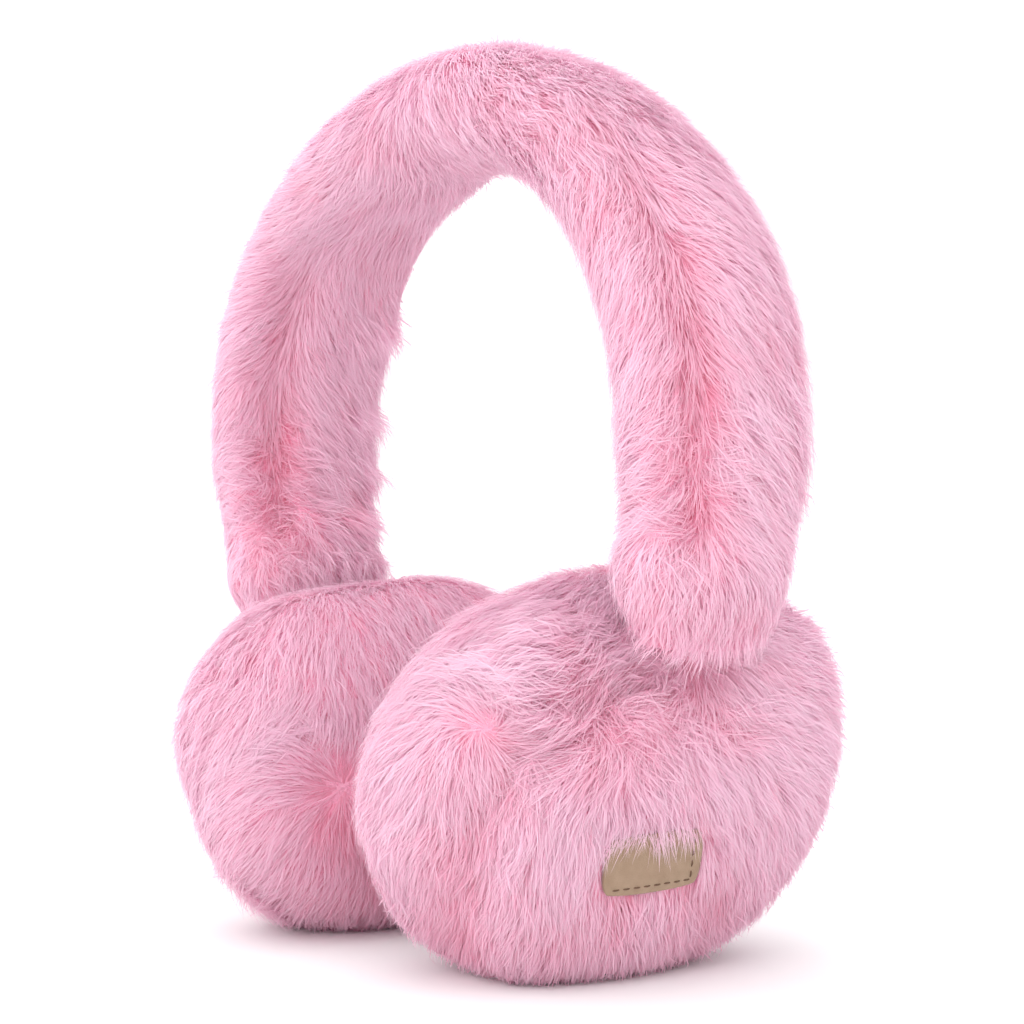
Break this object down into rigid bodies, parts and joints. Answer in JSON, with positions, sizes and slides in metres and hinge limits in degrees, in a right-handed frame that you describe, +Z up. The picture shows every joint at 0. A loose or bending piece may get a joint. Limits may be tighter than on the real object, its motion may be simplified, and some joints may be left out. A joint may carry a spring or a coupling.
{
  "type": "fur earmuffs",
  "caption": "Pink deep-pile fur earmuffs: a padded fur headband arch that ends in collars on rounded fur ear cups, with a bare suede patch on a cup's outer side.",
  "frame": {"origin": "on the floor below the middle of the bounding box, with the earmuffs standing on their cups", "axes": "+X towards the cup with the patch, from ear to ear, +Z up towards the crown of the band, -Y towards the front"},
  "size_m": [0.1844, 0.1176, 0.2104],
  "materials": {
    "pink_fur": "deep soft pile, pale at the tips and rose at the roots",
    "tan_suede": "matt brushed suede"
  },
  "bodies": {
    "root": {"headband": "pink_fur", "ear_cup_right": "pink_fur", "ear_cup_left": "pink_fur", "label_patch": "tan_suede"}
  },
  "joints": []
}
